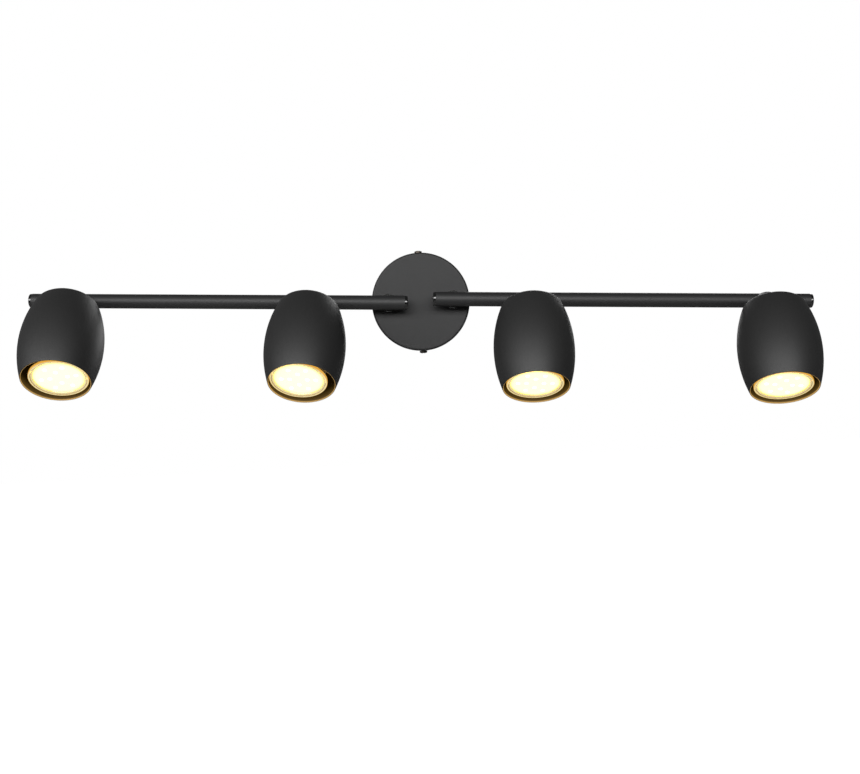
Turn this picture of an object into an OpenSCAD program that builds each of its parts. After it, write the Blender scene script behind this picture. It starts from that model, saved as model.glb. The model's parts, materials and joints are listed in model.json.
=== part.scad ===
// Four-lamp spot bar: a round wall canopy, two swivelling tube arms and four pivoting shades.
// X runs along the bar, Z is up, Y points into the wall, and the origin is the middle of the
// canopy's back face. The arms and heads stand as they were last aimed.

/* [Canopy] */
// Diameter of the canopy
canopy_d = 93; // [80:0.1:120]
// How far the canopy stands off the wall
canopy_h = 24; // [22:0.5:34]
// Sheet thickness of the canopy
canopy_wall = 1.2; // [0.8:0.1:1.6]
// Radius of the canopy's rounded front edge
canopy_edge_r = 2; // [1.5:0.1:4]
// Distance of each arm pivot from the canopy's middle, as a share of the canopy's radius
stem_share = 0.656; // [0.6:0.001:0.68]

/* [Arms] */
// Outer diameter of the arm tubes
tube_d = 13.4; // [12:0.1:16]
// Wall thickness of the arm tubes
tube_wall = 1; // [0.8:0.1:1.2]
// Distance from the wall to the middle of the tubes
standoff = 39.2; // [38:0.1:46]
// Distance from the middle of the bar to the inner end of each tube
tube_in = 14.4; // [12:0.1:17]
// Distance from the middle of the bar to the outer end of each tube
tube_out = 362; // [340:1:460]
// Turn of both arms on their pivots, clockwise seen from the front
arm_turn = 3.4; // [-20:0.1:20]
// How far the domed end plugs stand out of the tubes
plug_dome = 3.2; // [1.5:0.1:4]

/* [Heads] */
// Distance from each outer head to the outer end of its tube
head_inset = 42.7; // [30:0.1:60]
// Distance between the two heads on one arm
head_pitch = 218.7; // [180:0.1:240]
// Distance from the middle of the tube to the tilt hinge
hinge_reach = 25.5; // [25:0.1:34]
// Height of the tilt hinge above the flat top of the shade
hinge_rise = 7.6; // [7.4:0.1:12]
// Height of each shade
shade_h = 84.1; // [80:0.1:100]
// Widest diameter of each shade
shade_d = 71.4; // [66:0.1:85]
// Share of the shade's height that is above its widest place
belly_share = 0.547; // [0.48:0.001:0.6]
// Gap between the rim of the lamp and the mouth of the shade
mouth_gap = 4.4; // [3:0.1:6]
// Radius of the rounded top edge of the shade
shade_edge_r = 6; // [4:0.5:8]
// Sheet thickness of the shade
shade_wall = 1; // [0.8:0.1:1.6]

/* [Lamps] */
// Diameter of the lamp's front rim
lamp_d = 50; // [49:0.1:50.5]
// Length of the lamp from the front of its rim to its base
lamp_l = 47; // [46:0.5:50]
// How far the lamp's front sits inside the mouth of the shade
lamp_recess = 2.3; // [1:0.1:6]
// Turn of the lamp from locked to loose
twist_angle = 20; // [15:1:25]

/* [Aim] */
// Sideways turn of each head from straight down, left to right
head_pan = [-3.2, 3.3, 2.6, 5.8]; // [-40:0.1:40]
// Forward tilt of each head from hanging straight down, left to right
head_tilt = [37.6, 36.8, 30.1, 30.4]; // [28:0.1:60]
// Sideways lean of each lamp in its socket, left to right
lamp_lean_x = [1.4, -2.2, -0.7, -0.3]; // [-2.5:0.1:2.5]
// Front-to-back lean of each lamp in its socket, left to right
lamp_lean_y = [-0.5, 0.6, 0.2, -0.4]; // [-1:0.1:1]

/* [Hidden] */
$fn = 64;
HEADS = [1, 2, 3, 4];
SIDES = ["left", "right"];
HEAD_PARTS = [
    "swivel_base", "swivel_nut", "shade", "knuckle", "hinge_screw",
    "lampholder", "head_lead", "lamp", "lamp_lens"
];
ARM_PARTS = [
    "tube", "end_plugs", "stem", "stem_collar", "stem_nut", "arm_cable", "head_bosses"
];
CANOPY_PARTS = [
    "canopy", "mounting_bracket", "side_screws", "swivel_bushes", "terminal_block",
    "terminal_screws", "live_leads", "neutral_leads", "earth_leads"
];

// Clearances between the pieces
running_gap = 0.05;
seat_gap = 0.1;
free_gap = 0.3;
through = 1;

// Canopy and its bracket
canopy_r = canopy_d / 2;
canopy_in_r = canopy_r - canopy_wall;
stem_x = canopy_r * stem_share;
bracket_t = 1.5;
bracket_w = 20;
ear_w = 14;
ear_reach = canopy_h - canopy_wall - 3;
ear_top = sqrt(pow(canopy_in_r, 2) - pow(ear_w / 2, 2)) - free_gap;
slot_w = 4.5;
slot_l = 10;
slot_z = 28;
side_screw_y = canopy_h - 9;
side_screw_d = 3.9;
side_head_d = 7.2;
side_head_h = 2.6;
side_drive_w = 1.1;
side_drive_depth = 1.3;

// Stem that each arm turns on
stem_d = 9.9;
stem_bore_d = 7;
stem_start = 14;
bush_d = 12;
bush_flange_d = 15;
bush_flange_h = 0.8;
bush_bore_d = stem_d + 2 * running_gap;
bush_end = canopy_h - canopy_wall - 0.8;
stem_nut_af = 14;
stem_nut_h = 4;
stem_washer_h = 0.8;
collar_d = tube_d + 3.6;
stem_lap = 2;
collar_lap = 2.5;
lead_overlap = 4;

// Tubes, bosses and the pan joints
tube_r = tube_d / 2;
tube_in_r = tube_r - tube_wall;
tube_back = standoff - tube_r;
tube_front = standoff + tube_r;
plug_spigot_l = 6;
plug_rim_h = 0.6;
plug_dome_r = tube_r - 0.2;
boss_d = tube_d + 2;
boss_h = 3.5;
boss_lap = 2.2;
base_d = boss_d - 0.4;
base_h = 4.6;

// Pieces inside the tube, each a share of the tube's bore
boss_spigot_d = 1.68 * tube_in_r;
boss_spigot_y = standoff + 0.56 * tube_in_r;
stub_d = 1.12 * tube_in_r;
stub_bore_d = 0.7 * tube_in_r;
stub_end = standoff + 0.12 * tube_in_r;
nut_d = 1.5 * tube_in_r;
nut_h = 0.38 * tube_in_r;

// Tilt hinge
hinge_y = standoff + hinge_reach;
base_y = tube_front + boss_h + seat_gap;
flange_d = 15;
flange_h = 2.2;
tongue_r = hinge_rise - flange_h - 0.5;
tongue_t = 5.8;
fork_t = 3;
fork_r = tongue_r + 0.7;
fork_gap = tongue_t + 2 * seat_gap;
hinge_screw_d = 3.4;
hinge_head_d = 6;
hinge_head_h = 1.8;
nipple_d = 8;
nipple_bore_d = 5;
nipple_l = 10;

// Shade outline: a rounded top edge that runs smoothly into one long curve
shade_r = shade_d / 2;
shade_belly = shade_h * belly_share;
mouth_inset = shade_r - lamp_d / 2 - mouth_gap;
shade_curve_r = (pow(shade_h - shade_belly, 2) + pow(mouth_inset, 2)) / (2 * mouth_inset);
curve_x = shade_r - shade_curve_r;
edge_x = curve_x + sqrt(
    pow(shade_curve_r - shade_edge_r, 2) - pow(shade_belly - shade_edge_r, 2));
edge_turn = atan2(shade_belly - shade_edge_r, edge_x - curve_x);
curve_steps = 40;
edge_steps = 10;

// Lampholder and lamp
holder_d = 24;
holder_neck_d = 15;
holder_top = shade_wall + 0.6;
holder_step = 12;
lean_point = 5;
lamp_front = shade_h - lamp_recess;
lamp_base = lamp_front - lamp_l;
holder_end = lamp_base - free_gap;
holder_bore_d = nipple_d + 1.2;
lamp_base_r = 12.5;
lamp_base_l = 12;
lamp_rim_h = 3;
lens_r = lamp_d / 2 - 0.9;
lens_t = 2;
pin_pitch = 10;
pin_head_d = 5;
pin_head_h = 2.2;
pin_neck_d = 3;
pin_l = 6.4;

// Wiring
lead_d = 1.6;
cable_d = 3.6;
cable_back = tube_r - stem_lap - cable_d / 2 - free_gap;
branch_d = 0.42 * tube_in_r;
block_w = 21;
block_h = 16;
block_t = 12;
pole_pitch = 7;
pole_bore_d = 3.2;
pole_y = 7.5;
pole_screw_d = 3;
lead_rise = 20;
lead_offset = 2;
lead_level = 2.2;
first_level = 6;
bend_reach = 5;
bend_steps = 4;
wire_sides = 8;
wire_guide = [1, 1, 0.5];

// Distance from the middle of the bar to the outer heads
head_out = tube_out - head_inset;

// Places of a head: its arm, its distance from the middle and the sign of its side
function side_of(head) = head < 3 ? -1 : 1;
function reach_of(head) = (head == 1 || head == 4) ? head_out : head_out - head_pitch;

// Outline of the shade from its axis to a depth below its top, set in from the outer skin
function shade_line(inset, depth) =
    let (edge = shade_edge_r - inset, curve = shade_curve_r - inset)
    let (last_turn = asin((shade_belly - depth) / curve))
    concat(
        [[0, -depth], [0, -inset]],
        [for (i = [0:edge_steps])
            let (turn = 90 + (edge_turn - 90) * i / edge_steps)
            [edge_x + edge * cos(turn), -shade_edge_r + edge * sin(turn)]],
        [for (i = [1:curve_steps])
            let (turn = edge_turn + (last_turn - edge_turn) * i / curve_steps)
            [curve_x + curve * cos(turn), -shade_belly + curve * sin(turn)]]
    );

// A round bar along +Y away from the wall, from one distance off the wall to another
module post(d, from, to) {
    translate([0, -from, 0]) rotate([90, 0, 0]) cylinder(d = d, h = to - from);
}

// A round bar along X, centred
module pin_x(d, length) {
    rotate([0, 90, 0]) cylinder(d = d, h = length, center = true);
}

// A route of straight runs with its corners rounded into short curves
function rounded_route(points) =
    let (last = len(points) - 1)
    concat(
        [points[0]],
        [for (i = [1:last - 1])
            let (before = points[i - 1] - points[i], after = points[i + 1] - points[i])
            let (bend = min(bend_reach, norm(before) / 2.1, norm(after) / 2.1))
            let (enter = points[i] + bend * unit(before), leave = points[i] + bend * unit(after))
            for (step = [0:bend_steps])
                let (t = step / bend_steps)
                pow(1 - t, 2) * enter + 2 * t * (1 - t) * points[i] + pow(t, 2) * leave],
        [points[last]]
    );

function unit(v) = v / norm(v);

// One ring of a wire about a point, square to the way the wire runs there
function wire_ring(centre, run, d) =
    let (side = unit(cross(run, wire_guide)), up = cross(unit(run), side))
    [for (i = [0:wire_sides - 1])
        let (turn = 360 * i / wire_sides)
        centre + d / 2 * (cos(turn) * side + sin(turn) * up)];

// A thin wire swept along a route
module wire(points, d) {
    route = rounded_route(points);
    last = len(route) - 1;
    rings = [for (i = [0:last])
        wire_ring(route[i], route[min(i + 1, last)] - route[max(i - 1, 0)], d)];
    polyhedron(
        points = [for (ring = rings) for (corner = ring) corner],
        faces = concat(
            [[for (i = [0:wire_sides - 1]) i]],
            [for (i = [0:last - 1]) for (j = [0:wire_sides - 1])
                let (next = (j + 1) % wire_sides, here = i * wire_sides, ahead = here + wire_sides)
                for (half = [[here + j, ahead + j, ahead + next],
                    [here + j, ahead + next, here + next]]) half],
            [[for (i = [wire_sides - 1:-1:0]) last * wire_sides + i]]
        )
    );
}

// Puts its children at both arm pivots
module at_stems() {
    for (sign = [-1, 1]) translate([sign * stem_x, 0, 0]) children();
}

// Turns an arm about its pivot; its children are drawn level, reaching out along +X
module on_arm(sign) {
    translate([sign * stem_x, 0, 0])
        rotate([0, sign < 0 ? arm_turn + 180 : arm_turn, 0])
            translate([-stem_x, 0, 0]) children();
}

// Moves to a head's pan axis on its arm, without the arm's mirror image
module on_pivot(head) {
    sign = side_of(head);
    translate([sign * stem_x, 0, 0])
        rotate([0, arm_turn, 0]) translate([sign * (reach_of(head) - stem_x), 0, 0]) children();
}

// Pans with the head, level with the wall
module on_pan(head) {
    on_pivot(head) rotate([0, head_pan[head - 1] - arm_turn, 0]) children();
}

// Moves to the shade: its flat top is at z = 0, its axis runs down and +X is its hinge line
module on_shade(head) {
    on_pan(head)
        translate([0, -hinge_y, 0])
            rotate([-head_tilt[head - 1], 0, 0]) translate([0, 0, -hinge_rise]) children();
}

// Leans with the lamp about the point where its holder hangs
module on_lamp(head) {
    on_shade(head)
        translate([0, 0, -lean_point])
            rotate([-lamp_lean_y[head - 1], -lamp_lean_x[head - 1], 0])
                translate([0, 0, lean_point]) children();
}

// ---- Canopy ----

// Pressed steel cup with a rounded front edge, open to the wall
module canopy() {
    color("dimgray") difference() {
        rotate([90, 0, 0]) rotate_extrude($fn = 96) difference() {
            union() {
                square([canopy_r, canopy_h - canopy_edge_r]);
                square([canopy_r - canopy_edge_r, canopy_h]);
                translate([canopy_r - canopy_edge_r, canopy_h - canopy_edge_r])
                    circle(r = canopy_edge_r);
            }
            translate([-through, -through])
                square([canopy_in_r + through, canopy_h - canopy_wall + through]);
        }
        at_stems() post(bush_d + 2 * running_gap, canopy_h - canopy_wall - through,
            canopy_h + through);
        for (side = [0, 180]) rotate([0, side, 0])
            translate([0, -side_screw_y, canopy_in_r - through])
                cylinder(d = side_screw_d + 2 * seat_gap, h = canopy_wall + 2 * through);
    }
}

// Strap that is screwed to the wall, with a tapped ear at the top and the bottom
module mounting_bracket() {
    color("silver") difference() {
        union() {
            translate([-bracket_w / 2, -bracket_t, -ear_top])
                cube([bracket_w, bracket_t, 2 * ear_top]);
            for (side = [0, 180]) rotate([0, side, 0])
                translate([-ear_w / 2, -ear_reach, ear_top - bracket_t])
                    cube([ear_w, ear_reach, bracket_t]);
        }
        for (side = [0, 180]) rotate([0, side, 0]) {
            translate([0, -side_screw_y, ear_top - 2 * bracket_t])
                cylinder(d = side_screw_d + 2 * running_gap, h = 3 * bracket_t);
            for (end = [-1, 1]) translate([0, 0, slot_z + end * (slot_l - slot_w) / 2])
                post(slot_w, -through, bracket_t + through);
            translate([-slot_w / 2, -bracket_t - through, slot_z - (slot_l - slot_w) / 2])
                cube([slot_w, bracket_t + 2 * through, slot_l - slot_w]);
            // The strap narrows where the canopy's rim curves past its corners
            for (edge = [-1, 1]) translate([edge * (ear_w / 2 + bracket_w / 2), 0, ear_top])
                cube([bracket_w, 4 * bracket_t, 2 * bracket_t], center = true);
        }
    }
}

// The two pan-head screws that hold the canopy on its bracket
module side_screws() {
    color("black") for (side = [0, 180]) rotate([0, side, 0])
        translate([0, -side_screw_y, 0]) difference() {
            union() {
                translate([0, 0, ear_top - bracket_t - through])
                    cylinder(d = side_screw_d, h = canopy_r - ear_top + bracket_t + 2 * through);
                translate([0, 0, canopy_r]) intersection() {
                    cylinder(d = side_head_d, h = side_head_h);
                    translate([0, 0, side_head_h - side_head_d])
                        sphere(r = side_head_d);
                }
            }
            translate([0, 0, canopy_r + side_head_h - side_drive_depth / 2])
                for (turn = [0, 90]) rotate([0, 0, turn])
                    cube([side_head_d * 0.62, side_drive_w, side_drive_depth + through / 2],
                        center = true);
        }
}

// Nylon bushes that line the two pivot holes
module swivel_bushes() {
    color("ivory") at_stems() difference() {
        union() {
            post(bush_d, bush_end, canopy_h + bush_flange_h);
            post(bush_flange_d, canopy_h, canopy_h + bush_flange_h);
        }
        post(bush_bore_d, bush_end - through, canopy_h + 2 * through);
    }
}

// Three-pole terminal block on the bracket
module terminal_block() {
    color("white") difference() {
        translate([-block_w / 2, -bracket_t - block_t, -block_h / 2])
            cube([block_w, block_t, block_h]);
        for (pole = [-1:1]) translate([pole * pole_pitch, 0, 0]) {
            translate([0, -pole_y, 0])
                cylinder(d = pole_bore_d, h = block_h + 2 * through, center = true);
            for (row = [-1, 1]) translate([0, 0, row * block_h / 4])
                post(pole_screw_d + 2 * seat_gap, pole_y, bracket_t + block_t + through);
        }
    }
}

// Clamp screws of the terminal block
module terminal_screws() {
    color("gold") for (pole = [-1:1]) for (row = [-1, 1])
        translate([pole * pole_pitch, 0, row * block_h / 4]) difference() {
            post(pole_screw_d, pole_y + pole_bore_d / 2, bracket_t + block_t - 1.5);
            translate([0, -bracket_t - block_t + 1.5, 0])
                cube([pole_screw_d + through, 1.2, 0.6], center = true);
        }
}

// One lead from a stem to its pole, drawn for the left stem
module canopy_lead(slot) {
    start = [-stem_x - 0.6 * lead_offset * (slot - 1), 0, 0.8 * lead_offset * (slot - 1)];
    level = first_level + lead_level * slot;
    pole_x = (slot - 1) * pole_pitch;
    wire([
        start + [0, -stem_start - lead_overlap, 0],
        start + [0, -level, 0],
        [pole_x, -level, lead_rise],
        [pole_x, -pole_y, block_h / 2 + 1],
        [pole_x, -pole_y, block_h / 2 - 3]
    ], lead_d);
}

// A pole's two leads: the left arm's comes from above and the right arm's from below
module pole_leads(pole) {
    canopy_lead(pole + 1);
    rotate([0, 180, 0]) canopy_lead(1 - pole);
}

module live_leads() {
    color("saddlebrown") pole_leads(-1);
}

module neutral_leads() {
    color("royalblue") pole_leads(0);
}

module earth_leads() {
    color("yellowgreen") pole_leads(1);
}

// ---- Arms ----

// Steel tube with a hole at the back for its stem and two at the front for the heads
module tube(sign) {
    color("#262626") on_arm(sign) difference() {
        translate([tube_in, -standoff, 0]) rotate([0, 90, 0])
            cylinder(d = tube_d, h = tube_out - tube_in);
        translate([tube_in - through, -standoff, 0]) rotate([0, 90, 0])
            cylinder(r = tube_in_r, h = tube_out - tube_in + 2 * through);
        translate([stem_x, 0, 0]) post(stem_d + 2 * running_gap, tube_back - through, standoff);
        for (reach = [head_out - head_pitch, head_out]) translate([reach, 0, 0])
            post(boss_spigot_d + 2 * running_gap, standoff, tube_front + through);
    }
}

// Domed plugs in both ends of a tube
module end_plugs(sign) {
    color("black") on_arm(sign) {
        translate([tube_out, -standoff, 0]) rotate([0, 90, 0]) end_plug();
        translate([tube_in, -standoff, 0]) rotate([0, -90, 0]) end_plug();
    }
}

module end_plug() {
    cap_h = plug_dome - plug_rim_h;
    ball_r = (pow(plug_dome_r, 2) + pow(cap_h, 2)) / (2 * cap_h);
    translate([0, 0, -plug_spigot_l])
        cylinder(r = tube_in_r - running_gap, h = plug_spigot_l + plug_rim_h);
    cylinder(r = plug_dome_r, h = plug_rim_h);
    intersection() {
        translate([0, 0, plug_rim_h]) cylinder(r = plug_dome_r, h = cap_h);
        translate([0, 0, plug_dome - ball_r]) sphere(r = ball_r, $fn = 128);
    }
}

// Hollow threaded stem that the arm turns on
module stem(sign) {
    color("silver") on_arm(sign) translate([stem_x, 0, 0]) difference() {
        post(stem_d, stem_start, tube_back + stem_lap);
        post(stem_bore_d, stem_start - through, standoff);
    }
}

// Sleeve between the canopy and the tube, saddled to the tube
module stem_collar(sign) {
    color("#262626") on_arm(sign) difference() {
        translate([stem_x, 0, 0])
            post(collar_d, canopy_h + bush_flange_h + seat_gap, tube_back + collar_lap);
        translate([stem_x, 0, 0]) post(stem_d + 2 * running_gap, canopy_h, standoff);
        translate([stem_x, -standoff, 0]) pin_x(tube_d, 2 * collar_d);
    }
}

// Washer and lock nut that hold the stem inside the canopy
module stem_nut(sign) {
    washer_y = bush_end - seat_gap;
    color("silver") on_arm(sign) translate([stem_x, 0, 0]) difference() {
        union() {
            post(stem_nut_af + 2, washer_y - stem_washer_h, washer_y);
            translate([0, -washer_y + stem_washer_h, 0]) rotate([-90, 0, 0])
                cylinder(d = stem_nut_af / cos(30), h = stem_nut_h, $fn = 6);
        }
        post(stem_d + 2 * running_gap, stem_start - through, canopy_h);
    }
}

// Sheathed cable from the stem along the tube, with a branch into each head's stub
module arm_cable(sign) {
    cable_y = standoff - cable_back;
    color("gray") on_arm(sign) {
        translate([stem_x, 0, 0]) post(cable_d, stem_start + lead_overlap + free_gap, cable_y);
        translate([stem_x, -cable_y, 0]) sphere(d = cable_d);
        translate([stem_x, -cable_y, 0]) rotate([0, 90, 0])
            cylinder(d = cable_d, h = head_out + cable_d - stem_x);
        for (reach = [head_out - head_pitch, head_out]) translate([reach, 0, 0])
            post(branch_d, cable_y, hinge_y - tongue_r - 1);
    }
}

// Round bosses brazed in the tube's front holes, which carry the heads
module head_bosses(sign) {
    color("#262626") on_arm(sign)
        for (reach = [head_out - head_pitch, head_out]) translate([reach, 0, 0])
            difference() {
                union() {
                    difference() {
                        post(boss_d, tube_front - boss_lap, tube_front + boss_h);
                        translate([0, -standoff, 0]) pin_x(tube_d, 2 * boss_d);
                    }
                    post(boss_spigot_d, boss_spigot_y, tube_front + boss_h);
                }
                post(stub_d + 2 * running_gap, standoff, tube_front + boss_h + through);
            }
}

// ---- Heads ----

// Turning half of the joint: a stub in the boss, a round base and the hinge's tongue
module swivel_base(head) {
    color("#262626") on_pan(head) difference() {
        union() {
            post(stub_d, stub_end, base_y + base_h);
            post(base_d, base_y, base_y + base_h);
            translate([-tongue_t / 2, -hinge_y, -tongue_r])
                cube([tongue_t, hinge_y - base_y - base_h / 2, 2 * tongue_r]);
            translate([0, -hinge_y, 0]) pin_x(2 * tongue_r, tongue_t);
        }
        post(stub_bore_d, stub_end - through, hinge_y - tongue_r);
        translate([0, -hinge_y, 0])
            pin_x(hinge_screw_d + 2 * running_gap, tongue_t + through);
    }
}

// Lock nut on the stub, inside the tube
module swivel_nut(head) {
    nut_y = boss_spigot_y - seat_gap;
    color("silver") on_pan(head) difference() {
        post(nut_d, nut_y - nut_h, nut_y);
        post(stub_d + running_gap, stub_end - through, tube_front);
    }
}

// Barrel-shaped shade, closed at the top and open at the mouth
module shade(head) {
    color("#303030") on_shade(head) difference() {
        rotate_extrude($fn = 96) difference() {
            polygon(shade_line(0, shade_h));
            polygon(shade_line(shade_wall, shade_h + through));
        }
        translate([0, 0, -shade_wall - through])
            cylinder(d = nipple_d + 2 * seat_gap, h = shade_wall + 2 * through);
    }
}

// Fork on top of the shade, with the hollow nipple that goes through it
module knuckle(head) {
    color("#262626") on_shade(head) difference() {
        union() {
            cylinder(d = flange_d, h = flange_h);
            translate([0, 0, -nipple_l]) cylinder(d = nipple_d, h = nipple_l);
            for (ear = [-1, 1]) translate([ear * (fork_gap + fork_t) / 2, 0, 0]) {
                translate([0, 0, hinge_rise]) pin_x(2 * fork_r, fork_t);
                translate([-fork_t / 2, -fork_r, 0]) cube([fork_t, 2 * fork_r, hinge_rise]);
            }
        }
        translate([0, 0, -nipple_l - through])
            cylinder(d = nipple_bore_d, h = nipple_l + flange_h + 2 * through);
        translate([0, 0, hinge_rise]) pin_x(hinge_screw_d + 2 * running_gap, 4 * fork_t + tongue_t);
    }
}

// Screw that the head tilts on, with its nut
module hinge_screw(head) {
    span = fork_gap + 2 * fork_t;
    color("silver") on_shade(head) translate([0, 0, hinge_rise]) {
        pin_x(hinge_screw_d, span + 2 * hinge_head_h);
        translate([span / 2, 0, 0]) rotate([0, 90, 0]) difference() {
            cylinder(d = hinge_head_d, h = hinge_head_h);
            translate([0, 0, hinge_head_h]) cube([hinge_head_d + through, 1, 1.4], center = true);
        }
        translate([-span / 2, 0, 0]) rotate([0, -90, 0])
            cylinder(d = hinge_head_d, h = hinge_head_h, $fn = 6);
    }
}

// Slot that one lamp pin travels in as the lamp turns
module pin_slot() {
    for (turn = [-twist_angle, -twist_angle / 2, 0]) rotate([0, 0, turn])
        translate([pin_pitch / 2, 0, 0])
            cylinder(d = pin_head_d + 2 * free_gap, h = pin_l + 2 * free_gap);
}

// Ceramic lampholder with two arc slots, hung loosely on the nipple
module lampholder(head) {
    color("linen") on_lamp(head) difference() {
        union() {
            translate([0, 0, -holder_end]) cylinder(d = holder_d, h = holder_end - holder_step);
            translate([0, 0, -holder_step - through])
                cylinder(d = holder_neck_d, h = holder_step - holder_top + through);
        }
        translate([0, 0, -nipple_l - through]) cylinder(d = holder_bore_d, h = nipple_l + through);
        translate([0, 0, -holder_end - free_gap]) for (side = [0, 180]) rotate([0, 0, side])
            pin_slot();
    }
}

// Sheathed lead in the nipple, down to the lampholder
module head_lead(head) {
    color("gray") on_shade(head)
        translate([0, 0, -nipple_l - 0.5]) cylinder(d = cable_d, h = nipple_l + flange_h);
}

// Lamp body with its base and two pins; its rim holds the lens
module lamp(head) {
    neck = lamp_base + lamp_base_l;
    flare = lamp_front - lamp_rim_h;
    lamp_r = lamp_d / 2;
    color("whitesmoke") on_lamp(head) {
        rotate_extrude() difference() {
            polygon([
                [0, -lamp_base], [lamp_base_r, -lamp_base], [lamp_base_r, -neck],
                [lamp_base_r + 2, -neck - 1], [lamp_r - 3, -flare + 6],
                [lamp_r - 0.8, -flare], [lamp_r, -flare - 0.8], [lamp_r, -lamp_front],
                [0, -lamp_front]
            ]);
            translate([0, -lamp_front - through]) square([lens_r, lens_t + through]);
        }
        for (side = [-1, 1]) translate([side * pin_pitch / 2, 0, -lamp_base]) {
            cylinder(d = pin_neck_d, h = pin_l);
            translate([0, 0, pin_l - pin_head_h]) cylinder(d = pin_head_d, h = pin_head_h);
        }
    }
}

// Clear front of the lamp
module lamp_lens(head) {
    color("lightyellow") on_lamp(head)
        translate([0, 0, -lamp_front]) cylinder(r = lens_r - running_gap, h = lens_t);
}

canopy();
mounting_bracket();
side_screws();
swivel_bushes();
terminal_block();
terminal_screws();
live_leads();
neutral_leads();
earth_leads();

for (sign = [-1, 1]) {
    side = sign < 0 ? "left" : "right";
    tube(sign);
    end_plugs(sign);
    stem(sign);
    stem_collar(sign);
    stem_nut(sign);
    arm_cable(sign);
    head_bosses(sign);
}

for (head = HEADS) {
    swivel_base(head);
    swivel_nut(head);
    shade(head);
    knuckle(head);
    hinge_screw(head);
    lampholder(head);
    head_lead(head);
    lamp(head);
    lamp_lens(head);
}
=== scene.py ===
"""Looks and studio for a four-lamp spot bar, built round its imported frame.

Every piece is made in its own upright place first, with its axis on Z, and then moved to where
the frame holds it. Lengths are in metres, and MM turns millimetres into metres.
"""

import json
import math

import bmesh
import bpy
from bpy.props import (
    FloatProperty,
    FloatVectorProperty,
    IntProperty,
    PointerProperty,
)
from mathutils import Matrix, Vector


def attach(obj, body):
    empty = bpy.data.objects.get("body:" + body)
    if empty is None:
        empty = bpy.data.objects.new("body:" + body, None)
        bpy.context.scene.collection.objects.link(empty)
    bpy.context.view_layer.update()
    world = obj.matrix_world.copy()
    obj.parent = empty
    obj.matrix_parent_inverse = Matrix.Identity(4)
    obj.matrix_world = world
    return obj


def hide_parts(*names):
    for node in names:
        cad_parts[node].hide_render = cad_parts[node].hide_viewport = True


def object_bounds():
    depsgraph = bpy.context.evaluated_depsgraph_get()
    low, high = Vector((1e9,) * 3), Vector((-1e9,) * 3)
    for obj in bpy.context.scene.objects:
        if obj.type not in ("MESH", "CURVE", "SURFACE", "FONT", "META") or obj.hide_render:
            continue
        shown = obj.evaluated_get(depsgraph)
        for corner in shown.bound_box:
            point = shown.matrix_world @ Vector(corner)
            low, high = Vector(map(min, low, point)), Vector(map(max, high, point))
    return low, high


bl_info = {
    "name": "Spot Bar Looks",
    "version": (1, 0, 0),
    "blender": (4, 5, 0),
    "location": "3D View > Sidebar > Spot Bar",
    "description": "Dresses the frame of a four-lamp spot bar and sets its studio",
    "category": "Object",
}

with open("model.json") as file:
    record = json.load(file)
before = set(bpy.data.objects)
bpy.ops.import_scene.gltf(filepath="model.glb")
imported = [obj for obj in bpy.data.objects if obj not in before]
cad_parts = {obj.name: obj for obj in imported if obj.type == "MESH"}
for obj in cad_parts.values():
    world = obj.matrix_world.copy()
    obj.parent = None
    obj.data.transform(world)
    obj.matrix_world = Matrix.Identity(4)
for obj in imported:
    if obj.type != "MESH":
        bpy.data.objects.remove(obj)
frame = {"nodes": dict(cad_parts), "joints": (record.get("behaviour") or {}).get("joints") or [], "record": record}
cad_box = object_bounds()

MM = 0.001
HEADS = (1, 2, 3, 4)
SIDES = ("left", "right")


# ---- Places, read from the frame ----


def joint(name):
    """The frame's joint of that name."""
    return next(j for j in frame["joints"] if j["name"] == name)


def points_of(node):
    """A CAD node's vertices."""
    return [vertex.co for vertex in frame["nodes"][node].data.vertices]


def place_of(origin, x_axis, z_axis):
    """A place with its Z axis exactly on z_axis and its X axis as near to x_axis as that allows."""
    z = Vector(z_axis).normalized()
    y = z.cross(Vector(x_axis)).normalized()
    x = y.cross(z)
    turn = Matrix((x, y, z)).transposed().to_4x4()
    return Matrix.Translation(origin) @ turn


def shade_place(head):
    """Middle of a shade's flat top, with Z up its axis and X along its hinge.

    A head stops where its shade points straight out from the wall, so the tilt joint's upper
    limit says how far the shade stands from there."""
    tilt = joint(f"head_{head}_tilt")
    hinge = Vector(tilt["pos_m"])
    x_axis = -Vector(tilt["axis"])
    wall = Vector((0, 1, 0))
    hang = math.radians(90 - tilt["range_deg"][1])
    z_axis = wall * math.sin(hang) + x_axis.cross(wall) * math.cos(hang)
    top = max((point - hinge).dot(z_axis) for point in points_of(f"shade_{head}"))
    return place_of(hinge + z_axis * top, x_axis, z_axis)


def lamp_place(head):
    """Middle of a lamp's front, with Z up into its holder and X along its pins."""
    twist = joint(f"lamp_{head}_twist")
    centre = Vector(twist["pos_m"])
    z_axis = -Vector(twist["axis"])
    front = min((point - centre).dot(z_axis) for point in points_of(f"lamp_{head}"))
    return place_of(centre + z_axis * front, -Vector(joint(f"head_{head}_tilt")["axis"]), z_axis)


def reach_in(node, place):
    """How far a CAD node reaches from a place: its lowest and highest Z, and its largest radius."""
    local = [place.inverted() @ point for point in points_of(node)]
    heights = [point.z for point in local]
    return min(heights), max(heights), max(point.xy.length for point in local)


# ---- Node trees written as sums ----


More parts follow.
